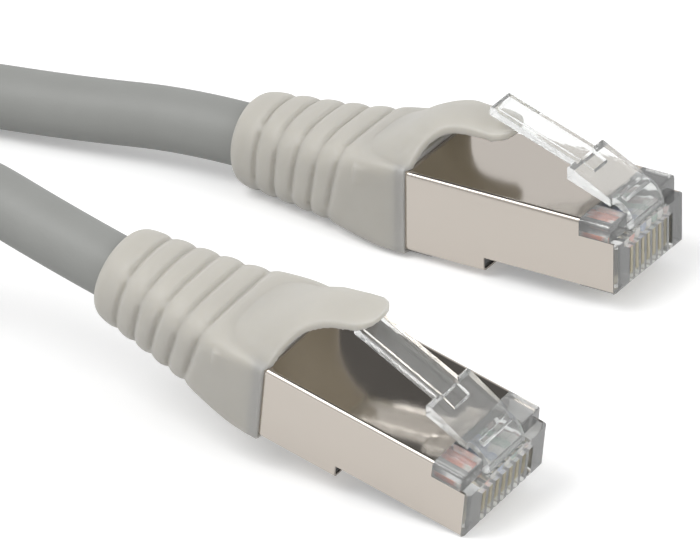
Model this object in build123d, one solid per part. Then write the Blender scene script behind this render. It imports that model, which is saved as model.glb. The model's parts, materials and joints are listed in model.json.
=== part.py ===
from build123d import *
import math
import os

# Shielded ethernet patch cable: two identical plugs with snag-proof boots, joined by one round
# cord whose spare length is wound into a coil. Millimetres, +Z up, standing on z = 0, with the
# origin under the middle of the two plugs. Each plug is drawn in its own frame: +X towards the
# nose, +Z towards the latch, zero at the nose's lower front edge. A place then puts it in the
# model.

# --- plug shell, folded sheet -------------------------------------------------------------
SHELL_W = 12.0          # across the folded sides
SHELL_TOP = 6.8         # top sheet above the nose's lower edge
SHEET = 0.2             # sheet thickness
FOLD_R = 0.45           # outside radius of the folds
SHELL_REAR = -25.4      # rear edge, inside the boot
STEP_X = -14.0          # where the deep rear half ends
STEP_DROP = 1.25        # how far the rear half hangs below the nose
SIDE_FRONT = -0.5       # front edge of the sides
SIDE_BOTTOM = 0.2       # lower edge of the sides ahead of the step
WINDOW_REAR = -4.1      # front edge of the top sheet, and rear edge of each side's cut-out
WINDOW_DROP = 1.7       # depth of each side's cut-out

# --- contacts and conductors --------------------------------------------------------------
PITCH = 1.02
WAYS = 8
WIRE_D = 0.92           # insulated conductor
WIRE_Z = 4.45           # height of the row of conductors
WIRE_FRONT = -1.3       # where the conductors end in the nose
WIRE_GAP = 0.06         # clearance over a conductor in its slot or hole
BLADE_T = 0.35
BLADE_FRONT = -0.45
BLADE_REAR = -6.3
BLADE_LOW = 0.25
BLADE_R = 0.9           # round at the blade's lower front corner
TINE = 0.5              # height of the points that reach up to the conductor
TINE_GAP = 0.03

# --- clear plug body ----------------------------------------------------------------------
BODY_REAR = -21.0
BODY_STEP_GAP = 0.2     # the body's step stands this far behind the shell's
BLOCK_INNER = 2.84      # inner side of the two raised corner blocks
BLOCK_FRONT = -0.93     # their front
NOSE_TOP = 5.2          # top of the nose between and ahead of the blocks
NOSE_R = 0.45           # rounds at the nose's front
TOOTH_R = 0.7           # round at the lower front of the ribs between the contacts
SLOT_W = 0.62           # contact slot
SLOT_REAR = -6.6
CAVITY_FRONT = -9.4     # front of the wide rear cavity
CAVITY_WALL = 0.62      # the cavity reaches this far past the outer conductors' pitch
CAVITY_ROOF = 0.9       # body left above the cavity
CAVITY_FLOOR = 0.5
GUIDE_LEN = 2.9         # wire guide, front to back
GUIDE_LOW = 3.2
GUIDE_GAP = 0.05

# --- latch, heights above the top sheet ---------------------------------------------------
HINGE_X = -0.62         # centre of the root bead
HINGE_RISE = 0.35       # of the bead above the nose's top
BEAD_R = 0.4
BEAD_GAP = 0.06
SEAT_LEN = 1.6          # raised seat for the bead, from the nose back
SEAT_RISE = 0.25
PLATE_W = 6.1           # across the locking shoulders
PLATE_FRONT = -2.5
PLATE_REAR = -7.0
PLATE_TOP = (1.05, 3.35)   # top of the plate at its front and rear
PLATE_LOW = (0.32, 1.95)   # its underside there
PLATE_R = 0.2
WEB_TOP = ((-1.6, 0.85), (-0.75, 0.15), (-0.3, -0.75))
WEB_LOW = ((-1.75, 0.15), (-1.2, -0.35), (-0.95, -1.0))
LATCH_SIDE_GAP = 0.15   # between the root web and the corner blocks
BAR = (-1.9, -1.35)     # raised bar across the web, rear and front
BAR_TOP = 1.2
BAR_W = 4.3
TAIL_W = 3.2
TAIL_REAR = -15.9
TAIL_RISE = (3.2, 6.4)  # top of the tail where it leaves the plate and at its end
TAIL_T = 0.9
GROOVE_W = 2.3          # channel along the top of the tail
GROOVE_DEPTH = 0.45
GROOVE_FRONT = -5.3
GROOVE_END = 0.6        # wall left at the tail's end

# --- cable end inside the boot ------------------------------------------------------------
CORD_D = 6.0
SCREEN_R = 2.4          # foil over the four pairs
AXIS_Z = 2.5            # cable axis above the nose's lower edge
SCREEN_FRONT = -17.0
SCREEN_ROW_SIDE = 0.27  # the foil's flat end reaches this far past the outer conductors
SCREEN_ROW_H = 1.6
JACKET_FRONT = -23.5
JACKET_REAR = -42.0
BRAID_T = 0.25          # braid folded back over the jacket
BRAID_LEN = 9.0
CRIMP_FRONT = -27.4
CRIMP_LEN = 4.6
CRIMP_T = 0.35
CRIMP_ARM_W = 3.0
CRIMP_ARM_T = 0.45
WEDGE_FRONT = -18.4
WEDGE_LEN = 2.2
WEDGE_W = 7.0
WEDGE_T = 0.35

# --- boot ---------------------------------------------------------------------------------
BOOT_FRONT = -22.2
BOOT_REAR = -42.6
BOOT_GAP = 0.05         # clearance over the shell and the crimp
JACKET_GAP = 0.03       # clearance over the jacket
BOOT_COLLAR = (         # x, wall over the jacket beside it, over it and under it
    (BOOT_REAR, 1.05, 0.9, 0.95),
    (-41.3, 1.5, 1.45, 1.45),
)
BOOT_SHOULDER = (       # x, wall over the shell beside it, over it and under it, corner radius
    (-30.0, -0.35, 0.4, 0.5, 3.1),
    (-26.6, 0.35, 0.45, 0.5, 1.6),
    (BOOT_FRONT, 0.4, 0.45, 0.45, 1.3),
)
LIP_FRONT = -19.9       # thin lip under the shell
LIP_T = 0.4
LIP_W = 10.4
GROOVES = 5
GROOVE_TOP_X = (-38.9, -29.4)    # first and last flex groove, at the top of the boot
GROOVE_LOW_X = (-39.5, -31.3)    # and at the bottom, where they lean back
FLEX_WIDTH = 0.7
FLEX_DEPTH = 0.55

# --- hood over the latch, heights above the top sheet -------------------------------------
HOOD_T = 0.8
HOOD_BASE = 0.2         # foot of the arch
HOOD_FLATNESS = 2.5     # power of the arch: 2 is a parabola, more is flatter on top
HOOD_HALF = 6.2         # half the arch's span
HOOD_OUTLINE = (        # x and half width of the rim, from the shell's corner to the tip
    (-22.3, 6.1), (-21.6, 4.8), (-21.0, 3.9), (-20.0, 3.1), (-18.8, 2.6), (-17.4, 2.4),
)
HOOD_TIP_HALF = 2.3
HOOD_TIP_R = 0.9
HOOD_ROOT = (-28.0, -26.0)       # x of the arch's first two sections, low and rising
HOOD_ROOT_RISE = (0.35, 1.5)
HOOD_RAISED = ((-23.4, 3.2), (-20.6, 5.15), (-18.0, 6.4), (-15.8, 7.2), (-14.6, 7.3))
HOOD_LOW = ((-23.4, 3.1), (-20.6, 4.3), (-18.4, 4.45), (-15.8, 4.25), (-13.9, 4.1))
TONGUE_HALF = 3.4       # the part of the hood that flexes
TONGUE_GAP = 0.3
FLEX_X = -24.6          # line about which it flexes
FLEX_RISE = 1.85
FLEX_BEAD_R = 0.4
FLEX_BEAD_W = 4.4

# --- places of the two plugs --------------------------------------------------------------
# The far plug lies flat. The near one leans on its nose, held up by the stiff cord behind it,
# and its latch rests against the hood, a little pressed.
FAR_PLACE = Pos(15.83, 21.54, 1.95)
NEAR_PLACE = Pos(25.2, -20.86, 0.87) * Rot(Z=-3.18) * Rot(Y=12.34) * Rot(X=9.87)
NEAR_LATCH_PRESS = 2.0

# --- cord ---------------------------------------------------------------------------------
# Each route runs from the end of a plug's jacket to where it lies against the coil.
NEAR_ROUTE = (
    (-15.27, -19.04, 12.25), (-21.8, -18.68, 13.68), (-33.4, -17.9, 16.8),
    (-45.4, -20.9, 17.9), (-56.4, -27.7, 16.6), (-64.4, -38.0, 13.5), (-68.0, -48.0, 10.0),
)
FAR_ROUTE = (
    (-26.17, 21.54, 4.45), (-33.0, 21.54, 4.45), (-43.4, 19.5, 3.8), (-55.4, 17.9, 3.3),
    (-68.4, 15.6, 3.1), (-82.0, 13.9, 3.0), (-95.2, 14.1, 3.0),
)
COIL_AT = (-95.2, -22.4)
COIL_R = (22.8, 39.6)   # inside and outside of the wound coil
COIL_H = 12.3           # two layers of cord
COIL_EDGE = 2.4

ROW_Y = [(i - (WAYS - 1) / 2) * PITCH for i in range(WAYS)]
CAVITY_W = WAYS * PITCH + 2 * CAVITY_WALL
CAVITY_TOP = SHELL_TOP - SHEET - CAVITY_ROOF
WINDOW_LOW = SHELL_TOP - WINDOW_DROP
HINGE_Z = NOSE_TOP + HINGE_RISE
WIRES = (
    "white_orange", "orange", "white_green", "blue",
    "white_blue", "green", "white_brown", "brown",
)


def block(x, y, z):
    """A box from its low and high corner on each axis."""
    size = [high - low for low, high in (x, y, z)]
    middle = [(high + low) / 2 for low, high in (x, y, z)]
    return Pos(*middle) * Box(*size)


def rod(x, y, z, radius):
    """A round bar along X, between the two values of x."""
    length = x[1] - x[0]
    return Pos((x[0] + x[1]) / 2, y, z) * Rot(Y=90) * Cylinder(radius, length)


def bead(x, z, radius, width):
    """A round bar along Y, centred on y = 0."""
    return Pos(x, 0, z) * Rot(X=90) * Cylinder(radius, width)


def slab(outline, width):
    """A side view, as (x, z) points, made as wide as it says about y = 0."""
    face = make_face(Polyline(*[(x, z) for x, z in outline], close=True))
    return extrude(Plane.XZ * face, width / 2, both=True)


def above_shell(points):
    """Heights above the top sheet, as heights in the plug's frame."""
    return [(x, SHELL_TOP + rise) for x, rise in points]


def at_height(points, x):
    """The height at x of the line through two (x, z) points."""
    (x0, z0), (x1, z1) = points
    return z0 + (z1 - z0) * (x - x0) / (x1 - x0)


# --- plug shell ---------------------------------------------------------------------------
def folded(x, z, width):
    """A box whose four long edges carry the sheet's fold radius."""
    half = width / 2
    solid = block(x, (-half, half), z)
    radius = FOLD_R - (SHELL_W - width) / 2
    return fillet(solid.edges().filter_by(Axis.X), radius)


def shield_shell():
    low = -STEP_DROP
    inside = SHELL_W - 2 * SHEET
    outer = folded((SHELL_REAR, SIDE_FRONT), (low, SHELL_TOP), SHELL_W)
    bore = folded((SHELL_REAR - 1, SIDE_FRONT + 1), (low + SHEET, SHELL_TOP - SHEET), inside)
    shell = outer - bore
    half = SHELL_W / 2 + 1
    under_nose = block((STEP_X, 1), (-half, half), (low - 1, SIDE_BOTTOM))
    window = block((WINDOW_REAR, 1), (-half, half), (WINDOW_LOW, SHELL_TOP + 1))
    return shell - under_nose - window


# --- clear body ---------------------------------------------------------------------------
def wire_channel():
    half = ROW_Y[-1] + WIRE_D / 2 + WIRE_GAP
    reach = WIRE_D / 2 + WIRE_GAP
    x = (CAVITY_FRONT - 1, WIRE_FRONT + WIRE_GAP)
    return block(x, (-half, half), (WIRE_Z - reach, WIRE_Z + reach))


def contact_slots():
    top = WIRE_Z - WIRE_D / 2
    slots = Part()
    for y in ROW_Y:
        slots += block((SLOT_REAR, 1), (y - SLOT_W / 2, y + SLOT_W / 2), (-1, top))
    return slots


def nose():
    """The front bar, with its rounded corners and the rounded feet of the ribs."""
    flush = SHELL_W / 2
    bar = block((SIDE_FRONT, 0), (-flush, flush), (0, WINDOW_LOW))
    bar += block((WINDOW_REAR, 0), (SHEET - flush, flush - SHEET), (0, WINDOW_LOW))
    bar += block((-SEAT_LEN, 0), (-BLOCK_INNER, BLOCK_INNER), (0, NOSE_TOP + SEAT_RISE))
    feet = bar.edges().filter_by(Axis.Y).group_by(Axis.Z)[0].group_by(Axis.X)[-1]
    plan = block((WINDOW_REAR, 0), (-flush, flush), (0, SHELL_TOP))
    corners = plan.edges().filter_by(Axis.Z).group_by(Axis.X)[-1]
    return fillet(feet, TOOTH_R) & fillet(corners, NOSE_R)


def corner_blocks():
    flush = SHELL_W / 2
    raised = folded((WINDOW_REAR, BLOCK_FRONT), (0, SHELL_TOP), SHELL_W)
    raised &= block((WINDOW_REAR, 0), (-flush, flush), (WINDOW_LOW, SHELL_TOP))
    raised -= block((WINDOW_REAR - 1, 1), (-BLOCK_INNER, BLOCK_INNER), (0, SHELL_TOP + 1))
    fronts = raised.edges().filter_by_position(Axis.X, BLOCK_FRONT - 0.001, BLOCK_FRONT + 0.001)
    tops = fronts.filter_by(Axis.Y).group_by(Axis.Z)[-1]
    return fillet(tops, PLATE_R)


def plug_body():
    inside = SHELL_W - 2 * SHEET
    flush = SHELL_W / 2
    top = SHELL_TOP - SHEET
    body = folded((BODY_REAR, BLOCK_FRONT), (0, top), inside)
    body += folded((BODY_REAR, STEP_X - BODY_STEP_GAP), (SHEET - STEP_DROP, top), inside)
    body -= block((WINDOW_REAR, 1), (-flush, flush), (NOSE_TOP, SHELL_TOP + 1))
    body += nose() + corner_blocks()
    body -= bead(HINGE_X, HINGE_Z, BEAD_R + BEAD_GAP, 2 * BLOCK_INNER)
    cavity = (-CAVITY_W / 2, CAVITY_W / 2)
    body -= block((BODY_REAR - 1, CAVITY_FRONT), cavity, (CAVITY_FLOOR, CAVITY_TOP))
    return body - wire_channel() - contact_slots()


def wire_guide():
    half = CAVITY_W / 2 - GUIDE_GAP
    x = (CAVITY_FRONT - GUIDE_GAP - GUIDE_LEN, CAVITY_FRONT - GUIDE_GAP)
    guide = block(x, (-half, half), (GUIDE_LOW, CAVITY_TOP - GUIDE_GAP))
    for y in ROW_Y:
        guide -= rod((x[0] - 1, x[1] + 1), y, WIRE_Z, WIRE_D / 2 + WIRE_GAP)
    return guide


def strain_wedge():
    x = (WEDGE_FRONT - WEDGE_LEN, WEDGE_FRONT)
    return block(x, (-WEDGE_W / 2, WEDGE_W / 2), (CAVITY_TOP - WEDGE_T, CAVITY_TOP))


def contact(y):
    """One blade: round at the lower front, three points towards its conductor."""
    top = WIRE_Z - WIRE_D / 2 - TINE_GAP
    root = top - TINE
    outline = [(BLADE_REAR, BLADE_LOW), (BLADE_FRONT, BLADE_LOW), (BLADE_FRONT, root)]
    step = (BLADE_FRONT - BLADE_REAR) / 3
    for i in range(3):
        x = BLADE_FRONT - i * step
        outline += [(x - step / 2, top), (x - step, root)]
    blade = Pos(0, y, 0) * slab(outline, BLADE_T)
    corner = blade.edges().filter_by(Axis.Y).group_by(Axis.Z)[0].sort_by(Axis.X)[-1]
    return fillet(corner, BLADE_R)


def contacts():
    return Compound(children=[contact(y) for y in ROW_Y])


def wire(i):
    return rod((SCREEN_FRONT, WIRE_FRONT), ROW_Y[i], WIRE_Z, WIRE_D / 2)


# --- latch --------------------------------------------------------------------------------
def latch_web():
    """The curved web from the root bead up to the plate, with its raised bar."""
    width = 2 * (BLOCK_INNER - LATCH_SIDE_GAP)
    top = [(PLATE_FRONT, SHELL_TOP + PLATE_TOP[0]), *above_shell(WEB_TOP)]
    low = [*reversed(above_shell(WEB_LOW)), (PLATE_FRONT - 0.4, SHELL_TOP + PLATE_LOW[0] + 0.15)]
    front = (HINGE_X + BEAD_R * 0.9, HINGE_Z)
    back = (HINGE_X - BEAD_R * 0.6, HINGE_Z)
    outer = Spline(*top, front)
    inner = Spline(back, *low)
    face = make_face([outer, Line(outer @ 1, inner @ 0), inner, Line(inner @ 1, outer @ 0)])
    web = extrude(Plane.XZ * face, width / 2, both=True)
    bar = block(BAR, (-BAR_W / 2, BAR_W / 2), (SHELL_TOP + 0.3, SHELL_TOP + BAR_TOP))
    return web + bar + bead(HINGE_X, HINGE_Z, BEAD_R, width)


def latch_plate():
    outline = above_shell((
        (PLATE_FRONT, PLATE_TOP[0]), (PLATE_REAR, PLATE_TOP[1]),
        (PLATE_REAR, PLATE_LOW[1]), (PLATE_FRONT, PLATE_LOW[0]),
    ))
    plate = slab(outline, PLATE_W)
    return fillet(plate.edges().filter_by(Axis.Y).group_by(Axis.Z)[-1], PLATE_R)


def latch():
    start = PLATE_REAR + 0.5
    tail = above_shell((
        (start, TAIL_RISE[0]), (TAIL_REAR, TAIL_RISE[1]),
        (TAIL_REAR, TAIL_RISE[1] - TAIL_T), (start, TAIL_RISE[0] - TAIL_T),
    ))
    arm = slab(tail, TAIL_W)
    arm = fillet(arm.edges().filter_by(Axis.Y).group_by(Axis.X)[0], PLATE_R)
    plate_line = above_shell(((PLATE_FRONT, PLATE_TOP[0]), (PLATE_REAR, PLATE_TOP[1])))
    tail_line = (tail[0], tail[1])
    rear = TAIL_REAR + GROOVE_END
    groove = (
        (GROOVE_FRONT, at_height(plate_line, GROOVE_FRONT) + 1),
        (rear, at_height(tail_line, rear) + 1),
        (rear, at_height(tail_line, rear) - GROOVE_DEPTH),
        (PLATE_REAR, at_height(plate_line, PLATE_REAR) - GROOVE_DEPTH),
        (GROOVE_FRONT, at_height(plate_line, GROOVE_FRONT) - GROOVE_DEPTH),
    )
    return arm + latch_plate() + latch_web() - slab(groove, GROOVE_W)


def pressed(piece, angle):
    """The latch turned about its root bead, tail down."""
    hinge = Pos(HINGE_X, 0, HINGE_Z)
    return hinge * Rot(Y=-angle) * hinge.inverse() * piece


# --- cable end ----------------------------------------------------------------------------
def foil_screen():
    row_w = 2 * (ROW_Y[-1] + WIRE_D / 2 + SCREEN_ROW_SIDE)
    row = Plane.YZ.offset(SCREEN_FRONT) * Pos(0, WIRE_Z) * RectangleRounded(
        row_w, SCREEN_ROW_H, SCREEN_ROW_H / 2 - 0.01
    )
    ring = Plane.YZ.offset(JACKET_FRONT) * Pos(0, AXIS_Z) * RectangleRounded(
        2 * SCREEN_R, 2 * SCREEN_R, SCREEN_R - 0.01
    )
    cone = loft([ring, row], ruled=True)
    return cone + rod((JACKET_REAR, JACKET_FRONT), 0, AXIS_Z, SCREEN_R)


def jacket_end():
    x = (JACKET_REAR, JACKET_FRONT)
    return rod(x, 0, AXIS_Z, CORD_D / 2) - rod((x[0] - 1, x[1] + 1), 0, AXIS_Z, SCREEN_R)


def braid_fold():
    x = (JACKET_FRONT - BRAID_LEN, JACKET_FRONT)
    over = CORD_D / 2 + BRAID_T
    return rod(x, 0, AXIS_Z, over) - rod((x[0] - 1, x[1] + 1), 0, AXIS_Z, CORD_D / 2)


def crimp_collar():
    inner = CORD_D / 2 + BRAID_T
    x = (CRIMP_FRONT - CRIMP_LEN, CRIMP_FRONT)
    ring = rod(x, 0, AXIS_Z, inner + CRIMP_T)
    half = CRIMP_ARM_W / 2
    arm = block((x[0], SHELL_REAR), (-half, half), (-STEP_DROP, CRIMP_ARM_T - STEP_DROP))
    foot = max(CRIMP_ARM_T - STEP_DROP, AXIS_Z - inner - CRIMP_T / 2)
    arm += block(x, (-half, half), (-STEP_DROP, foot))
    return ring + arm - rod((x[0] - 1, SHELL_REAR + 1), 0, AXIS_Z, inner)


# --- boot ---------------------------------------------------------------------------------
def boot_rings():
    """Each section of the outer skin: x, half width, lowest, highest, corner radius."""
    cord_r = CORD_D / 2
    rings = []
    for x, side, over, under in BOOT_COLLAR:
        half = cord_r + side
        rings.append((x, half, AXIS_Z - cord_r - under, AXIS_Z + cord_r + over, half))
    for x, side, over, under, radius in BOOT_SHOULDER:
        rings.append((x, SHELL_W / 2 + side, -STEP_DROP - under, SHELL_TOP + over, radius))
    return rings


def boot_skin(inset):
    """The boot's outer shape, or the same shape drawn in by an even amount."""
    faces = []
    for x, half, low, high, radius in boot_rings():
        size = (2 * (half - inset), high - low - 2 * inset)
        round_by = min(radius, size[0] / 2 - 0.01, size[1] / 2 - 0.01)
        middle = Pos(0, (low + high) / 2)
        faces.append(Plane.YZ.offset(x) * middle * RectangleRounded(*size, round_by))
    return loft(faces, ruled=True)


def flex_grooves():
    """Leaning slices that leave the boot's inner tube standing between its ribs."""
    slices = Part()
    low, high = -STEP_DROP - 2, SHELL_TOP + 2
    for i in range(GROOVES):
        share = i / (GROOVES - 1)
        top = GROOVE_TOP_X[0] + share * (GROOVE_TOP_X[1] - GROOVE_TOP_X[0])
        foot = GROOVE_LOW_X[0] + share * (GROOVE_LOW_X[1] - GROOVE_LOW_X[0])
        half = FLEX_WIDTH / 2
        outline = ((foot - half, low), (foot + half, low), (top + half, high), (top - half, high))
        slices += slab(outline, 2 * SHELL_W)
    return slices


def arch(x, crown, half):
    """A closed section of the hood: flat foot, rounded top."""
    foot = SHELL_TOP + HOOD_BASE
    points = []
    for i in range(9):
        y = half * (i - 4) / 4
        share = 1 - (abs(y) / half) ** HOOD_FLATNESS
        points.append((y, foot + (crown - foot) * share))
    top = Spline(*points)
    return Plane.YZ.offset(x) * make_face([top, Line(top @ 1, top @ 0)])


def hood_arch(profile, inset):
    """The arch as one solid from its root to its tip, or drawn in by an even amount."""
    root = [(x, rise) for x, rise in zip(HOOD_ROOT, HOOD_ROOT_RISE)]
    crowns = above_shell([*root, *profile])
    faces = []
    for x, crown in crowns:
        low = SHELL_TOP + HOOD_BASE + 0.1
        faces.append(arch(x, max(crown - inset, low), HOOD_HALF - inset))
    return loft(faces, ruled=True)


def hood_shell(profile):
    """The arched sheet, cut to the rim's outline."""
    tip = profile[-1][0]
    rim = [(FLEX_X - 5, HOOD_HALF), (HOOD_OUTLINE[0][0], HOOD_HALF), *HOOD_OUTLINE]
    rim.append((tip, HOOD_TIP_HALF))
    loop = rim + [(x, -half) for x, half in reversed(rim)]
    plan = make_face(Polyline(*loop, close=True))
    plan = fillet(plan.vertices().group_by(Axis.X)[-1], HOOD_TIP_R)
    hollow = hood_arch(profile, HOOD_T) & block((FLEX_X, 0), (-9, 9), (0, 40))
    return (hood_arch(profile, 0) - hollow) & extrude(plan, 40)


def tongue_space(clear):
    """The room that the flexing part of the hood takes."""
    half = TONGUE_HALF + clear
    return block((FLEX_X - clear, 0), (-half, half), (SHELL_TOP + HOOD_BASE, 40))


def flex_bead(clear):
    return bead(FLEX_X, SHELL_TOP + FLEX_RISE, FLEX_BEAD_R + clear, FLEX_BEAD_W + 2 * clear)


def boot_hood(profile):
    return (hood_shell(profile) & tongue_space(0)) + flex_bead(0)


def boot_hollow():
    """Room for the shell's rear, the crimp and the jacket."""
    half = SHELL_W / 2 + BOOT_GAP
    rear = SHELL_REAR - BOOT_GAP
    pocket = folded(
        (rear, 0), (-STEP_DROP - BOOT_GAP, SHELL_TOP + BOOT_GAP), 2 * half
    )
    crimp_rear = CRIMP_FRONT - CRIMP_LEN - BOOT_GAP
    crimp_r = CORD_D / 2 + BRAID_T + CRIMP_T + BOOT_GAP
    room = rod((crimp_rear, rear + 1), 0, AXIS_Z, crimp_r)
    arm = CRIMP_ARM_W / 2 + BOOT_GAP
    room += block((crimp_rear, rear + 1), (-arm, arm), (-STEP_DROP - BOOT_GAP, 0))
    braid_rear = JACKET_FRONT - BRAID_LEN - BOOT_GAP
    braid = rod((braid_rear, rear), 0, AXIS_Z, CORD_D / 2 + BRAID_T + BOOT_GAP)
    bore = rod((BOOT_REAR - 1, rear), 0, AXIS_Z, CORD_D / 2 + JACKET_GAP)
    return pocket + room + braid + bore


def boot(profile):
    ribs = boot_skin(0) - flex_grooves() + boot_skin(FLEX_DEPTH)
    lip_top = -STEP_DROP - BOOT_GAP
    lip = block((BOOT_FRONT, LIP_FRONT), (-LIP_W / 2, LIP_W / 2), (lip_top - LIP_T, lip_top))
    sides = hood_shell(profile) - tongue_space(TONGUE_GAP) - flex_bead(BEAD_GAP)
    return ribs + lip + sides - boot_hollow()


# --- whole model --------------------------------------------------------------------------
def plug(place, suffix, profile, press):
    pieces = {
        "boot": boot(profile),
        "hood": boot_hood(profile),
        "shield_shell": shield_shell(),
        "plug_body": plug_body(),
        "latch": pressed(latch(), press),
        "contacts": contacts(),
        "wire_guide": wire_guide(),
        "strain_wedge": strain_wedge(),
        "foil_screen": foil_screen(),
        "jacket_end": jacket_end(),
        "braid_fold": braid_fold(),
        "crimp_collar": crimp_collar(),
    }
    for i, colour in enumerate(WIRES):
        pieces["wire_" + colour] = wire(i)
    return {name + "_" + suffix: place * piece for name, piece in pieces.items()}


def tube(name, route):
    """Straight runs joined by arcs as large as the runs allow, swept with the cord's section."""
    points = [Vector(*point) for point in route]
    radii = []
    for before, here, after in zip(points, points[1:], points[2:]):
        turn = (here - before).get_angle(after - here)
        run = min((here - before).length, (after - here).length)
        radii.append(0.45 * run / math.tan(math.radians(turn / 2)))
    path = FilletPolyline(*points, radius=radii)
    section = Plane(origin=path @ 0, z_dir=path % 0) * Circle(CORD_D / 2)
    solid = sweep(section, path)
    full = math.pi * (CORD_D / 2) ** 2 * path.length
    print(name, "radii", [round(radius, 1) for radius in radii], "length", round(path.length, 1))
    print(name, "volume over section times length", round(solid.volume / full, 4))
    return solid


def coil():
    """The outer shape of the spare cord, wound in two layers."""
    inner, outer = COIL_R
    ring = Pos(*COIL_AT, COIL_H / 2) * (Cylinder(outer, COIL_H) - Cylinder(inner, COIL_H))
    return fillet(ring.edges(), COIL_EDGE)


nodes = {}
nodes.update(plug(NEAR_PLACE, "near", HOOD_RAISED, NEAR_LATCH_PRESS))
nodes.update(plug(FAR_PLACE, "far", HOOD_LOW, 0))
nodes["cord_near"] = tube("cord_near", NEAR_ROUTE)
nodes["cord_far"] = tube("cord_far", FAR_ROUTE)
nodes["cord_coil"] = coil()

os.makedirs("parts", exist_ok=True)
for name, piece in nodes.items():
    export_step(piece, f"parts/{name}.step")
box = Compound(children=[nodes[name] for name in nodes if "cord" not in name]).bounding_box()
print("plugs from", box.min, "to", box.max)
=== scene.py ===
# %% [markdown]
# # A shielded ethernet patch cable
# Two clear plugs in bright metal shells, two milky boots and one grey cord, built round the parts
# of a CAD model. Every length here is in metres, in the model's own frame: +X towards the noses,
# +Z up, and the resting surface at zero.

# %% Load the model
import json
import math

import bmesh
import bpy
from mathutils import Matrix, Vector


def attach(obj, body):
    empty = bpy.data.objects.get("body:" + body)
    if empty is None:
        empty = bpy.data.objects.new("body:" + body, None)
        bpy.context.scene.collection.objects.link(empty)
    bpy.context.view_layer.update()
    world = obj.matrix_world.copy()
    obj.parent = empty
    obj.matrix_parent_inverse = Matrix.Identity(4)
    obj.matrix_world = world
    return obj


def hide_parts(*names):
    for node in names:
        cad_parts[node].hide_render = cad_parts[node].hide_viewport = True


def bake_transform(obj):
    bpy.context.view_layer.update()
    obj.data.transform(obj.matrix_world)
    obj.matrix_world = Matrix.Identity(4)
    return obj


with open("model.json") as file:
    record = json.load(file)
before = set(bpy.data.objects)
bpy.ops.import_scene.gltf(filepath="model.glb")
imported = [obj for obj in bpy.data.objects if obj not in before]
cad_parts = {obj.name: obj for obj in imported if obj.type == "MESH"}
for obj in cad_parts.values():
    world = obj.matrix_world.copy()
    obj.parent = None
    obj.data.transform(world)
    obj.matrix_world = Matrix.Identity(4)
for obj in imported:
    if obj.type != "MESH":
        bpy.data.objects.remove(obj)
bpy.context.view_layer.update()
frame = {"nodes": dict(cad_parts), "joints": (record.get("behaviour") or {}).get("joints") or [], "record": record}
MM = 0.001
print("loaded", len(frame["nodes"]), "pieces")


# %% [markdown]
# The camera looks from the front and above through a very long lens, so the two plugs keep nearly
# the same scale. A view is easiest to read as an azimuth, an elevation and a small roll.

# %% Camera
CAMERA_AT = (0.54827, -0.91663, 0.57732)
AZIMUTH, ELEVATION, ROLL = 31.02, 28.09, -0.45
LENS, SENSOR = 696.4, 36.0

camera_data = bpy.data.cameras.new("camera")
camera_data.sensor_width = SENSOR
camera_data.sensor_fit = "HORIZONTAL"
camera_data.lens = LENS
camera_data.clip_start = 0.05
camera_data.clip_end = 20.0
camera = bpy.data.objects.new("camera", camera_data)
bpy.context.scene.collection.objects.link(camera)
turn = Matrix.Rotation(math.radians(AZIMUTH), 4, "Z")
tilt = Matrix.Rotation(math.radians(90 - ELEVATION), 4, "X")
roll = Matrix.Rotation(math.radians(ROLL), 4, "Z")
camera.matrix_world = Matrix.Translation(CAMERA_AT) @ turn @ tilt @ roll
bpy.context.scene.camera = camera
print("camera right", [round(v, 4) for v in camera.matrix_world.col[0][:3]])


# %% [markdown]
# Colours are picked as sRGB hex values, the way a paint or plastic chart gives them. The renderer
# works in linear light, so one function turns them.

# %% Colour and node helpers
def linear(code):
    """An sRGB hex colour as the linear RGBA that a shader takes."""
    channels = [int(code[i:i + 2], 16) / 255 for i in (1, 3, 5)]
    turned = [c / 12.92 if c <= 0.04045 else ((c + 0.055) / 1.055) ** 2.4 for c in channels]
    return (*turned, 1.0)


def add_node(tree, kind, settings=None, inputs=None):
    """Adds one node, sets its properties, and sets or links its inputs by name."""
    node = tree.nodes.new(kind)
    for name, value in (settings or {}).items():
        setattr(node, name, value)
    for name, value in (inputs or {}).items():
        if isinstance(value, bpy.types.NodeSocket):
            tree.links.new(value, node.inputs[name])
        else:
            node.inputs[name].default_value = value
    return node


def cells(size):
    """The scale at which a texture's cells are this many millimetres across."""
    return 1 / (size * MM)


def material(name, **surface):
    """A material with one Principled surface, and its sockets set by name."""
    made = bpy.data.materials.new(name)
    made.use_nodes = True
    shader = made.node_tree.nodes["Principled BSDF"]
    for socket, value in surface.items():
        shader.inputs[socket.replace("_", " ")].default_value = value
    return made, made.node_tree, shader


print("mid grey in linear light is", round(linear("#808080")[0], 3))


# %% [markdown]
# The jacket is extruded PVC. Fresh from the die it is smooth, with a satin skin: a broad, soft
# highlight and a faint mottle a few millimetres wide. Its real grain is a few hundredths of a
# millimetre, so the bump draws it about ten times as coarse to let it show.

# %% Jacket material
def extruded_pvc():
    made, tree, shader = material("extruded_pvc", Roughness=0.55, IOR=1.5)
    spot = add_node(tree, "ShaderNodeTexCoord")
    mottle = add_node(
        tree, "ShaderNodeTexNoise", inputs={"Vector": spot.outputs["Object"], "Scale": cells(3.8)}
    )
    tone = add_node(
        tree, "ShaderNodeMix", {"data_type": "RGBA"},
        {"Factor": mottle.outputs["Fac"], "A": linear("#929390"), "B": linear("#9A9B98")},
    )
    grain = add_node(
        tree, "ShaderNodeTexNoise", inputs={"Vector": spot.outputs["Object"], "Scale": cells(0.38)}
    )
    bump = add_node(
        tree, "ShaderNodeBump",
        inputs={"Height": grain.outputs["Fac"], "Strength": 0.08, "Distance": 0.2 * MM},
    )
    tree.links.new(tone.outputs["Result"], shader.inputs["Base Color"])
    tree.links.new(bump.outputs["Normal"], shader.inputs["Normal"])
    return made


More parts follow.
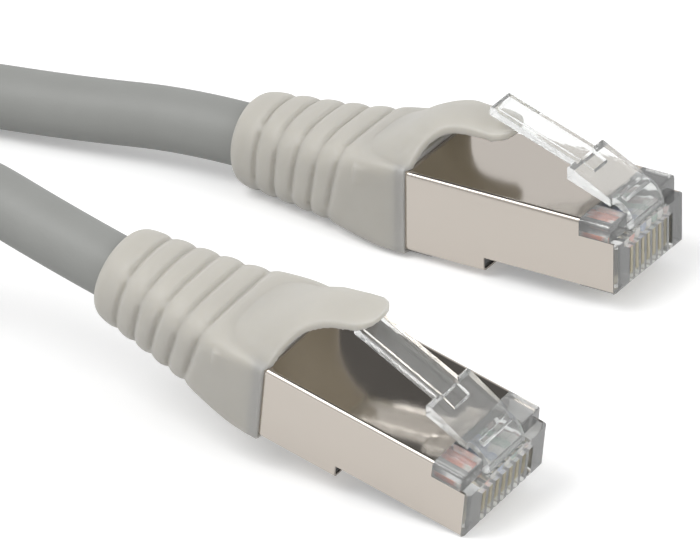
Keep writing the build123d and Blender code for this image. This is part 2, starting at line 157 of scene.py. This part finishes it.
JACKET = extruded_pvc()
print("jacket material", JACKET.name)


# %% [markdown]
# The boots are soft PVC, injection moulded with little pigment. Light enters the milky plastic
# and comes out again a millimetre or two away, so edges glow and grooves never go black.
# Subsurface scattering gives that, with a radius in millimetres. The mould's fine grain is drawn
# half a millimetre wide, coarser than it is, so that it shows.

# %% Boot material
def moulded_pvc():
    made, tree, shader = material("moulded_soft_pvc", Roughness=0.5, IOR=1.45)
    shader.inputs["Subsurface Weight"].default_value = 1.0
    shader.inputs["Subsurface Radius"].default_value = (1.0, 0.97, 0.9)
    shader.inputs["Subsurface Scale"].default_value = 2.6 * MM
    spot = add_node(tree, "ShaderNodeTexCoord")
    cloud = add_node(
        tree, "ShaderNodeTexNoise",
        inputs={"Vector": spot.outputs["Object"], "Scale": cells(4.5), "Detail": 3.0},
    )
    tone = add_node(
        tree, "ShaderNodeMix", {"data_type": "RGBA"},
        {"Factor": cloud.outputs["Fac"], "A": linear("#BCB9B2"), "B": linear("#C6C3BB")},
    )
    grain = add_node(
        tree, "ShaderNodeTexNoise", inputs={"Vector": spot.outputs["Object"], "Scale": cells(0.55)}
    )
    bump = add_node(
        tree, "ShaderNodeBump",
        inputs={"Height": grain.outputs["Fac"], "Strength": 0.1, "Distance": 0.2 * MM},
    )
    tree.links.new(tone.outputs["Result"], shader.inputs["Base Color"])
    tree.links.new(bump.outputs["Normal"], shader.inputs["Normal"])
    return made


BOOT_PLASTIC = moulded_pvc()
print("boot material", BOOT_PLASTIC.name)


# %% [markdown]
# The shell is thin brass sheet, folded and bright nickel plated. Nickel is a slightly warm mirror.
# Rolling and handling leave it very faintly hazy, which a fine noise on the roughness gives.

# %% Shell material
def nickel_plate():
    made, tree, shader = material("nickel_plated_sheet", Metallic=1.0, Roughness=0.16)
    shader.inputs["Base Color"].default_value = linear("#BBB4AC")
    spot = add_node(tree, "ShaderNodeTexCoord")
    haze = add_node(
        tree, "ShaderNodeTexNoise",
        inputs={"Vector": spot.outputs["Object"], "Scale": cells(3.3), "Detail": 4.0},
    )
    spread = add_node(
        tree, "ShaderNodeMapRange",
        inputs={"Value": haze.outputs["Fac"], "To Min": 0.1, "To Max": 0.2},
    )
    tree.links.new(spread.outputs["Result"], shader.inputs["Roughness"])
    return made


NICKEL = nickel_plate()
print("shell material", NICKEL.name)


# %% [markdown]
# Bodies and latches are clear polycarbonate. Tables give it an IOR of about 1.58. In walls this
# thin that darkens every edge, so 1.5 is used here. The mould leaves its faces very slightly
# uneven, which a shallow bump with cells of 1.4 mm gives.

# %% Clear material
def clear_polycarbonate(name, clearness, roughness):
    """Clear plastic; what isn't clearness is a faint milkiness that the mould's finish gives."""
    made, tree, shader = material(name, Roughness=roughness, IOR=1.5)
    shader.inputs["Transmission Weight"].default_value = clearness
    shader.inputs["Base Color"].default_value = linear("#FBFCFB")
    spot = add_node(tree, "ShaderNodeTexCoord")
    flow = add_node(
        tree, "ShaderNodeTexNoise", inputs={"Vector": spot.outputs["Object"], "Scale": cells(1.4)}
    )
    bump = add_node(
        tree, "ShaderNodeBump",
        inputs={"Height": flow.outputs["Fac"], "Strength": 0.15, "Distance": 0.2 * MM},
    )
    tree.links.new(bump.outputs["Normal"], shader.inputs["Normal"])
    return made


# %% [markdown]
# Each conductor wears coloured polyethylene. Half of them are white with coloured rings, so a
# pair can be told from its neighbours.

# %% Conductor materials
PAIR_COLOURS = {"orange": "#E0651E", "green": "#1F8055", "blue": "#215FA8", "brown": "#8A4C34"}
WHITE = "#E4DED8"
RING_SPACING = 5.0      # millimetres from ring to ring; a wave repeats every pi / 10 at scale 1


def polyethylene(name, base, ring):
    """Base colour with soft rings of the pair's colour along the conductor."""
    made, tree, shader = material("polyethylene_" + name, Roughness=0.35, IOR=1.51)
    spot = add_node(tree, "ShaderNodeTexCoord")
    bands = add_node(
        tree, "ShaderNodeTexWave", {"wave_type": "BANDS", "bands_direction": "X"},
        {"Vector": spot.outputs["Object"], "Scale": math.pi / (10 * RING_SPACING * MM)},
    )
    sharp = add_node(
        tree, "ShaderNodeMapRange",
        inputs={"Value": bands.outputs["Fac"], "From Min": 0.45, "From Max": 0.75},
    )
    tone = add_node(
        tree, "ShaderNodeMix", {"data_type": "RGBA"},
        {"Factor": sharp.outputs["Result"], "A": linear(base), "B": linear(ring)},
    )
    tree.links.new(tone.outputs["Result"], shader.inputs["Base Color"])
    return made


# %% [markdown]
# The rest is metal: gold on the contacts, aluminium foil round the pairs, and a tinned copper
# braid folded back over the jacket.

# %% Small metal materials
def noisy_metal(name, colour, roughness, size, strength):
    """Metal with a bump whose cells are this many millimetres across."""
    made, tree, shader = material(name, Metallic=1.0, Roughness=roughness)
    shader.inputs["Base Color"].default_value = linear(colour)
    spot = add_node(tree, "ShaderNodeTexCoord")
    crease = add_node(
        tree, "ShaderNodeTexNoise", inputs={"Vector": spot.outputs["Object"], "Scale": cells(size)}
    )
    bump = add_node(
        tree, "ShaderNodeBump",
        inputs={"Height": crease.outputs["Fac"], "Strength": strength, "Distance": 0.3 * MM},
    )
    tree.links.new(bump.outputs["Normal"], shader.inputs["Normal"])
    return made


# %% [markdown]
# The hard pieces keep the CAD model's own meshes. A piece's name says what it is, so one table
# gives each kind its finish. The body is a little milkier than the latch.

# %% Dress the CAD pieces
CLEAR = clear_polycarbonate("polycarbonate_body", 0.82, 0.05)
LATCH_CLEAR = clear_polycarbonate("polycarbonate_latch", 0.9, 0.08)
FINISHES = {
    "boot": BOOT_PLASTIC,
    "shield_shell": NICKEL,
    "crimp_collar": NICKEL,
    "plug_body": CLEAR,
    "latch": LATCH_CLEAR,
    "wire_guide": CLEAR,
    "strain_wedge": CLEAR,
    "contacts": noisy_metal("gold_plate", "#E9DDBE", 0.3, 1.1, 0.1),
    "foil_screen": noisy_metal("aluminium_foil", "#C9CACB", 0.3, 1.4, 0.6),
    "braid_fold": noisy_metal("tinned_braid", "#A9A7A2", 0.4, 0.4, 1.0),
    "jacket_end": JACKET,
}
for colour, code in PAIR_COLOURS.items():
    FINISHES["wire_" + colour] = polyethylene(colour, code, code)
    FINISHES["wire_white_" + colour] = polyethylene("white_" + colour, WHITE, code)

for name, piece in frame["nodes"].items():
    kind = name.rsplit("_", 1)[0]
    if kind in FINISHES:
        piece.data.materials.clear()
        piece.data.materials.append(FINISHES[kind])
print("finishes", len(FINISHES))


# %% [markdown]
# Each plug has its own frame: X towards the nose, Z towards the latch, zero at the nose's lower
# front edge. Two facts in the record give it back: where the nose is, and which way the latch's
# hinge points. Soft parts are drawn in that frame in millimetres and then placed.

# %% Plug frames
NOSE_MIDDLE = 2.8


def plug_frame(side):
    """The matrix from a plug's own millimetres to the model's metres."""
    nose = next(m for m in frame["record"]["mounts"] if m["name"] == side + "_plug_nose")
    hinge = next(j for j in frame["joints"] if j["name"] == "press_" + side + "_latch")
    along = Vector(nose["axis"]).normalized()
    across = -Vector(hinge["axis"]).normalized()
    up = along.cross(across)
    origin = Vector(nose["pos_m"]) - up * NOSE_MIDDLE * MM
    axes = Matrix((along, across, up)).transposed().to_4x4()
    return Matrix.Translation(origin) @ axes @ Matrix.Scale(MM, 4)


PLUG_FRAMES = {side: plug_frame(side) for side in ("near", "far")}
print("near plug points", [round(v, 3) for v in PLUG_FRAMES["near"].col[0][:3]])


# %% [markdown]
# The boot is one soft moulding, so it is drawn as overlapping closed skins that a voxel remesh
# melts together, which also gives every inner corner the small round that a mould has. The main
# skin is a tube of superellipse sections: nearly round at the collar, nearly square at the shell.

# %% Smooth lines through a few values
def smooth(points, x):
    """A smooth curve through (x, value, ...) rows, read at x."""
    if x <= points[0][0]:
        return points[0][1:]
    if x >= points[-1][0]:
        return points[-1][1:]
    last = len(points) - 1
    i = next(k for k in range(last) if points[k + 1][0] >= x)
    here, after = points[i], points[i + 1]
    before, beyond = points[max(0, i - 1)], points[min(i + 2, last)]
    span = after[0] - here[0]
    t = (x - here[0]) / span
    found = []
    for k in range(1, len(here)):
        slope_here = (after[k] - before[k]) / (after[0] - before[0]) * span
        slope_after = (beyond[k] - here[k]) / (beyond[0] - here[0]) * span
        h00, h10 = 2 * t**3 - 3 * t**2 + 1, t**3 - 2 * t**2 + t
        h01, h11 = 3 * t**2 - 2 * t**3, t**3 - t**2
        found.append(h00 * here[k] + h10 * slope_here + h01 * after[k] + h11 * slope_after)
    return tuple(found)


print("a smooth rise is half way up at", smooth(((0, 0.0), (1, 1.0)), 0.5))


# %% [markdown]
# Five flex grooves run round the tube and lean forward as they rise. Between two of them the
# skin bulges like a small pillow. Short deeper slots follow the same lines on the top, the side
# and the bottom, with bridges between them, so that the boot bends without tearing.

# %% Boot skin
BOOT_SECTIONS = (    # x, half width, bottom, top, squareness
    (-42.15, 3.45, -0.75, 5.75, 2.0),
    (-42.0, 3.95, -1.3, 6.25, 2.05),
    (-41.5, 4.3, -1.72, 6.72, 2.15),
    (-40.6, 4.5, -1.9, 6.95, 2.25),
    (-38.0, 4.85, -1.93, 7.05, 2.5),
    (-34.0, 5.4, -1.9, 7.12, 3.0),
    (-30.0, 5.95, -1.85, 7.2, 4.0),
    (-26.6, 6.33, -1.75, 7.25, 8.0),
    (-24.0, 6.39, -1.72, 7.27, 16.0),
    (-22.2, 6.39, -1.7, 7.27, 20.0),
)
GROOVES = 5
GROOVE_TOP = (-38.9, -29.4)
GROOVE_LOW = (-39.5, -31.3)
PILLOW = 1.15           # half of the distance between two grooves
NOTCH = 0.42            # depth of a groove's rounded notch
SLOT_DEPTH = 0.16       # how much deeper a slot is
SLOT_HALF = 0.34        # half width of a slot
SLOT_SHIFT = 0.06       # every other side slot sits this share of the height higher or lower
SLOT_RISE = 0.3         # half length of a side slot, as a share of the height
SLOT_REACH = 0.78       # half length of a top or bottom slot, as a share of the half width
SLOT_END = 6            # how quickly a slot ends
BOOT_STEP = 0.12
RING_POINTS = 160


def groove_depth(x, y, z, half, low, high):
    """How far the skin is drawn in at a spot, from the nearest groove."""
    rise = (z - low) / (high - low)
    gaps = []
    for i in range(GROOVES):
        share = i / (GROOVES - 1)
        top = GROOVE_TOP[0] + share * (GROOVE_TOP[1] - GROOVE_TOP[0])
        foot = GROOVE_LOW[0] + share * (GROOVE_LOW[1] - GROOVE_LOW[0])
        gaps.append((abs(x - foot - rise * (top - foot)), i))
    gap, i = min(gaps)
    pillow = math.sqrt(1 - (1 - min(1, gap / PILLOW)) ** 2)
    depth = NOTCH * (1 - pillow)
    middle = 0.5 + SLOT_SHIFT * (-1) ** i
    beside = abs(y) > 0.6 * half
    over_or_under = abs(rise - 0.5) > 0.4
    on_side = max(0, 1 - abs(rise - middle) / SLOT_RISE) if beside else 0
    on_flat = max(0, 1 - abs(y) / (SLOT_REACH * half)) if over_or_under else 0
    window = min(1, SLOT_END * max(on_side, on_flat))
    narrow = max(0, 1 - (gap / SLOT_HALF) ** 4)
    return depth + SLOT_DEPTH * window * narrow


def boot_ring(x):
    """One closed section of the skin, as points in the plug's frame."""
    half, low, high, square = smooth(BOOT_SECTIONS, x)
    middle, reach = (high + low) / 2, (high - low) / 2
    ring = []
    for i in range(RING_POINTS):
        angle = 2 * math.pi * i / RING_POINTS
        across, up = math.cos(angle), math.sin(angle)
        y = half * math.copysign(abs(across) ** (2 / square), across)
        z = middle + reach * math.copysign(abs(up) ** (2 / square), up)
        draw = groove_depth(x, y, z, half, low, high)
        away = Vector((0, y / half**2, (z - middle) / reach**2)).normalized()
        ring.append(Vector((x, y, z)) - away * draw)
    return ring


def closed_tube(rings):
    """Vertices and faces of a tube through the rings, closed with a face at each end."""
    count = len(rings[0])
    spots = [spot for ring in rings for spot in ring]
    faces = []
    for r in range(len(rings) - 1):
        for i in range(count):
            j = (i + 1) % count
            a, b = r * count, (r + 1) * count
            faces.append((a + i, a + j, b + j, b + i))
    faces.append(tuple(reversed(range(count))))
    faces.append(tuple(range(len(spots) - count, len(spots))))
    return spots, faces


def boot_skin():
    start, end = BOOT_SECTIONS[0][0], BOOT_SECTIONS[-1][0]
    count = round((end - start) / BOOT_STEP)
    return closed_tube([boot_ring(start + (end - start) * i / count) for i in range(count + 1)])


print("boot is", round(BOOT_SECTIONS[-1][0] - BOOT_SECTIONS[0][0], 2), "mm long")


# %% [markdown]
# A hood rises out of the boot's front and reaches over the tail of the latch, so that the tail
# can't catch on other cables. Across, it is an arch that dies away at the shell's upper corners.
# Its sides sweep in quickly to a narrow tongue with a rounded end.

# %% Boot hood
ARCH_FOOT = 6.1         # height at which the arch ends on each side
ARCH_HALF = 6.35
ARCH_POWER = 2.9
HOOD_T = 0.8
HOOD_START = -27.6
HOOD_OPEN = -24.6       # ahead of this the arch is hollow
HOOD_SWEEP = -22.3      # where the sides start to sweep in
TONGUE_HALF = 2.3
TIP_ROUND = 1.9
SWEEP_RATE = 0.7        # how quickly the sides sweep in
HOOD_ROOT = 1.6         # how far the hood's root reaches down into the boot
HOOD_THIN = 0.3         # least thickness, at the arch's feet
HOOD_POINTS = 48        # across the arch
CROWNS = {
    "near": (
        (-28.2, 7.0), (-26.0, 8.15), (-23.4, 10.0), (-20.6, 11.95), (-18.0, 13.2),
        (-15.8, 13.95), (-14.35, 14.15),
    ),
    "far": (
        (-28.2, 7.0), (-26.0, 8.2), (-23.4, 9.9), (-20.6, 11.1), (-18.4, 11.25),
        (-15.8, 11.05), (-13.9, 10.9),
    ),
}


def arch_height(crown, half, y):
    return ARCH_FOOT + (crown - ARCH_FOOT) * max(0, 1 - (abs(y) / half) ** ARCH_POWER)


def hood_reach(x, tip):
    """Half width of the hood at x: wide at the shell, swept in to a tongue, round at its tip."""
    if x < HOOD_SWEEP:
        return ARCH_HALF
    half = TONGUE_HALF + (ARCH_HALF - TONGUE_HALF) * math.exp(-SWEEP_RATE * (x - HOOD_SWEEP))
    into_tip = max(0, x - (tip - TIP_ROUND)) / TIP_ROUND
    return half - TIP_ROUND * (1 - math.sqrt(max(0, 1 - into_tip**2)))


def hood_skin(side):
    """The hood as one closed skin: top and underside, ring by ring."""
    crowns = CROWNS[side]
    tip = crowns[-1][0]
    count = round((tip - HOOD_START) / BOOT_STEP)
    across = HOOD_POINTS
    rings = []
    for i in range(count + 1):
        x = HOOD_START + (tip - HOOD_START) * i / count
        crown = smooth(crowns, x)[0]
        half = hood_reach(x, tip)
        ys = [half * (2 * k / across - 1) for k in range(across + 1)]
        top = [Vector((x, y, arch_height(crown, ARCH_HALF, y))) for y in ys]
        if x < HOOD_OPEN:
            low = [Vector((x, y, ARCH_FOOT - HOOD_ROOT)) for y in ys]
        else:
            under = [arch_height(crown - HOOD_T, ARCH_HALF - HOOD_T, y) for y in ys]
            low = [Vector((x, y, min(u, t.z - HOOD_THIN))) for y, u, t in zip(ys, under, top)]
        rings.append(top + list(reversed(low)))
    return closed_tube(rings)


print("hoods rise to", {side: max(crown for _, crown in CROWNS[side]) for side in CROWNS}, "mm")


# %% [markdown]
# A mesh can be made from a plain list of corners and faces. A few short helpers do that, join
# several closed skins into one object, and cut one shape out of another.

# %% Mesh helpers
def mesh_object(name, spots, faces):
    mesh = bpy.data.meshes.new(name)
    mesh.from_pydata([tuple(spot) for spot in spots], [], faces)
    made = bpy.data.objects.new(name, mesh)
    bpy.context.scene.collection.objects.link(made)
    return made


def box_skin(x, y, z):
    """A closed box from its low and high corner on each axis."""
    spots = [Vector((a, b, c)) for a in x for b in y for c in z]
    faces = [(0, 1, 3, 2), (4, 6, 7, 5), (0, 4, 5, 1), (2, 3, 7, 6), (0, 2, 6, 4), (1, 5, 7, 3)]
    return spots, faces


def joined(name, skins):
    spots, faces = [], []
    for more_spots, more_faces in skins:
        start = len(spots)
        spots += more_spots
        faces += [tuple(start + i for i in face) for face in more_faces]
    made = mesh_object(name, spots, faces)
    tidy = bmesh.new()
    tidy.from_mesh(made.data)
    bmesh.ops.recalc_face_normals(tidy, faces=tidy.faces)
    tidy.to_mesh(made.data)
    tidy.free()
    return made


def apply_modifiers(made):
    """Replaces an object's mesh with the result of its modifiers."""
    bpy.context.view_layer.update()
    seen = made.evaluated_get(bpy.context.evaluated_depsgraph_get())
    mesh = bpy.data.meshes.new_from_object(seen)
    made.modifiers.clear()
    made.data = mesh


def cut(made, skin):
    """Cuts a closed skin out of an object."""
    cutter = joined("cutter", [skin])
    knife = made.modifiers.new("cut", "BOOLEAN")
    knife.operation = "DIFFERENCE"
    knife.solver = "EXACT"
    knife.object = cutter
    apply_modifiers(made)
    bpy.data.objects.remove(cutter)


print("a box has", len(box_skin((0, 1), (0, 1), (0, 1))[1]), "faces")


# %% [markdown]
# The skins and a thin lip under the shell are melted together with a voxel remesh and smoothed a
# little. Then a boolean cuts out the room for the metal shell. The room is shallow, because a
# thin wall of milky plastic would let the dark inside show through.

# %% Boots
VOXEL = 0.14
SMOOTHING = 6
SHELL_ROOM = ((-23.2, 0.5), (-6.05, 6.05), (-1.3, 6.85))
LIP = ((-22.6, -19.9), (-5.2, 5.2), (-1.72, -1.3))


def boot(side):
    made = joined("boot_skin_" + side, [boot_skin(), hood_skin(side), box_skin(*LIP)])
    melt = made.modifiers.new("melt", "REMESH")
    melt.mode = "VOXEL"
    melt.voxel_size = VOXEL
    apply_modifiers(made)
    soften = made.modifiers.new("soften", "SMOOTH")
    soften.factor = 0.5
    soften.iterations = SMOOTHING
    apply_modifiers(made)
    cut(made, box_skin(*SHELL_ROOM))
    made.data.transform(PLUG_FRAMES[side])
    made.data.shade_smooth()
    made.data.set_sharp_from_angle(angle=math.radians(50))
    made.data.materials.clear()
    made.data.materials.append(FINISHES["boot"])
    return made


for side in ("near", "far"):
    skin = boot(side)
    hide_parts("boot_" + side, "hood_" + side)
    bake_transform(skin)
    print(side, "boot has", len(skin.data.polygons), "faces")


# %% [markdown]
# One cord joins the two plugs. Its middle is wound into a neat coil in two layers: it spirals in
# on top, drops through the eye, and spirals out below. A smooth curve through a few points gives
# the free stretches, and a loop gives the turns.

# %% Cord
CORD_D = 6.0 * MM
NEAR_ROUTE = (
    (-15.27, -19.04, 12.25), (-21.8, -18.68, 13.68), (-33.4, -17.9, 16.8),
    (-45.4, -20.9, 17.9), (-56.4, -27.7, 16.6), (-64.4, -38.0, 13.5),
)
FAR_ROUTE = (
    (-26.17, 21.54, 4.45), (-33.0, 21.54, 4.45), (-43.4, 19.5, 3.8), (-55.4, 17.9, 3.3),
    (-68.4, 15.6, 3.1), (-82.0, 13.9, 3.0),
)
COIL_AT = (-95.2, -22.4)
COIL_R = (26.0, 36.5)
COIL_START = -42.5
COIL_TURNS = 3 + 227.5 / 360
COIL_STEPS = 20
LAYER_Z = (9.25, 3.0)
DROP = 0.3              # share of a turn over which the cord drops to the lower layer
INNER_HOLD = 1.06       # above 1, the innermost turn keeps its radius a little longer


def coil_points():
    """The turns, clockwise from above: in along the top layer, then out along the bottom."""
    points = []
    count = round(COIL_TURNS * COIL_STEPS)
    bulge = 1 / math.cos(math.pi / COIL_STEPS) ** 0.5    # a control point lies outside its curve
    for i in range(count + 1):
        turned = COIL_TURNS * i / count
        half = COIL_TURNS / 2
        inward = 1 - abs(turned - half) / half
        radius = (COIL_R[1] - (COIL_R[1] - COIL_R[0]) * min(1, inward * INNER_HOLD)) * bulge
        fall = min(1, max(0, (turned - half) / DROP + 0.5))
        fall = fall * fall * (3 - 2 * fall)
        angle = math.radians(COIL_START - 360 * turned)
        z = LAYER_Z[0] + (LAYER_Z[1] - LAYER_Z[0]) * fall
        points.append(
            (COIL_AT[0] + radius * math.cos(angle), COIL_AT[1] + radius * math.sin(angle), z)
        )
    return points


def cord_curve(points):
    curve = bpy.data.curves.new("cord", "CURVE")
    curve.dimensions = "3D"
    spline = curve.splines.new("NURBS")
    spline.points.add(len(points) - 1)
    for place, point in zip(spline.points, points):
        place.co = (*[value * MM for value in point], 1.0)
    spline.order_u = 3
    spline.use_endpoint_u = True
    curve.resolution_u = 8
    curve.bevel_depth = CORD_D / 2
    curve.bevel_resolution = 8
    curve.use_fill_caps = True
    made = bpy.data.objects.new("cord", curve)
    bpy.context.scene.collection.objects.link(made)
    return made


def line_length(curve_object):
    """The length of a curve's own line, measured without its bevel."""
    depth = curve_object.data.bevel_depth
    curve_object.data.bevel_depth = 0
    bpy.context.view_layer.update()
    mesh = bpy.data.meshes.new_from_object(curve_object)
    curve_object.data.bevel_depth = depth
    spots = [v.co for v in mesh.vertices]
    return sum((b - a).length for a, b in zip(spots, spots[1:]))


cord = cord_curve([*NEAR_ROUTE, *coil_points(), *reversed(FAR_ROUTE)])
cord.data.materials.append(JACKET)
CORD_LENGTH = line_length(cord)
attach(cord, "root")
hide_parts("cord_near", "cord_far", "cord_coil")
print("cord is", round(CORD_LENGTH, 3), "m long")


# %% [markdown]
# The stage is a plain pale sweep. It reads as white because of its own colour and a faint glow,
# which the Light Path node gives only to what looks at it: the camera, glass and metal. The lamps
# stay at the level that suits the object, and the floor keeps its shadow.

# %% Stage
FLOOR_SIZE = 3.0
FLOOR_DROP = 0.1 * MM   # keeps the floor just clear of what rests on it
FLOOR_GLOW = 0.25


def stage_material():
    made = bpy.data.materials.new("pale_sweep")
    made.use_nodes = True
    tree = made.node_tree
    tree.nodes.clear()
    path = add_node(tree, "ShaderNodeLightPath")
    direct = add_node(
        tree, "ShaderNodeMath", {"operation": "MAXIMUM"},
        {0: path.outputs["Is Camera Ray"], 1: path.outputs["Is Transmission Ray"]},
    )
    seen = add_node(
        tree, "ShaderNodeMath", {"operation": "MAXIMUM"},
        {0: direct.outputs[0], 1: path.outputs["Is Glossy Ray"]},
    )
    tone = add_node(
        tree, "ShaderNodeMix", {"data_type": "RGBA"},
        {"Factor": seen.outputs[0], "A": linear("#C4C4C4"), "B": linear("#F4F4F4")},
    )
    glow = add_node(
        tree, "ShaderNodeMath", {"operation": "MULTIPLY"}, {0: seen.outputs[0], 1: FLOOR_GLOW}
    )
    matte = add_node(tree, "ShaderNodeBsdfDiffuse", inputs={"Color": tone.outputs["Result"]})
    bright = add_node(
        tree, "ShaderNodeEmission", inputs={"Color": (1, 1, 1, 1), "Strength": glow.outputs[0]}
    )
    both = add_node(
        tree, "ShaderNodeAddShader", inputs={0: matte.outputs[0], 1: bright.outputs[0]}
    )
    add_node(tree, "ShaderNodeOutputMaterial", inputs={"Surface": both.outputs[0]})
    return made


bpy.ops.mesh.primitive_plane_add(size=FLOOR_SIZE, location=(0, 0, -FLOOR_DROP))
floor = bpy.context.object
floor.name = "floor"
floor.data.materials.append(stage_material())
print("floor is", [round(v, 2) for v in floor.dimensions[:2]], "m")


# %% [markdown]
# The world is a plain studio. Matt surfaces get the same light from everywhere. Polished ones see
# white walls under a darker ceiling, as in a real studio, so that a bright metal top reads as
# metal and not as white paint.

# %% World
WORLD_LIGHT = 0.62
CEILING = (0.6, 0.8)    # sine of the height where the walls end and where the ceiling is dark
CEILING_LIGHT = 0.15


def studio_world():
    """Even light for matt surfaces; white walls under a dark ceiling for glossy ones."""
    world = bpy.data.worlds.new("studio")
    world.use_nodes = True
    tree = world.node_tree
    path = add_node(tree, "ShaderNodeLightPath")
    spot = add_node(tree, "ShaderNodeTexCoord")
    parts = add_node(tree, "ShaderNodeSeparateXYZ", inputs={"Vector": spot.outputs["Generated"]})
    ceiling = add_node(
        tree, "ShaderNodeMapRange", {"interpolation_type": "SMOOTHSTEP"},
        {
            "Value": parts.outputs["Z"], "From Min": CEILING[0], "From Max": CEILING[1],
            "To Min": 1.0, "To Max": CEILING_LIGHT,
        },
    )
    clear = add_node(
        tree, "ShaderNodeMath", {"operation": "MAXIMUM"},
        {0: path.outputs["Is Camera Ray"], 1: path.outputs["Is Transmission Ray"]},
    )
    glossy = add_node(
        tree, "ShaderNodeMix", {"data_type": "FLOAT"},
        {"Factor": path.outputs["Is Glossy Ray"], "A": WORLD_LIGHT, "B": ceiling.outputs["Result"]},
    )
    strength = add_node(
        tree, "ShaderNodeMix", {"data_type": "FLOAT"},
        {"Factor": clear.outputs[0], "A": glossy.outputs["Result"], "B": 1.0},
    )
    sky = tree.nodes["Background"]
    sky.inputs["Color"].default_value = (1, 1, 1, 1)
    tree.links.new(strength.outputs["Result"], sky.inputs["Strength"])
    return world


bpy.context.scene.world = studio_world()
print("world", bpy.context.scene.world.name)


# %% [markdown]
# Two soft boxes finish the light: a broad one from the front and above, a weaker one from the
# right.

# %% Lamps
SOFT_BOX = 0.5          # side of each soft box, in metres


def lamp(name, place, power):
    """A square soft box at place, facing the plugs."""
    data = bpy.data.lights.new(name, "AREA")
    data.size = SOFT_BOX
    data.energy = power
    made = bpy.data.objects.new(name, data)
    bpy.context.scene.collection.objects.link(made)
    made.location = place
    made.rotation_euler = (-Vector(place)).to_track_quat("-Z", "Y").to_euler()
    return made


LAMPS = [lamp("key", (-0.25, -0.45, 0.75), 3.6), lamp("fill", (0.75, -0.1, 0.5), 1.8)]
print("lamps", [light.name for light in LAMPS])


# %% [markdown]
# The finishing cell. The Standard view shows colours as they are written.

# %% Finish
bpy.context.scene.view_settings.view_transform = "Standard"
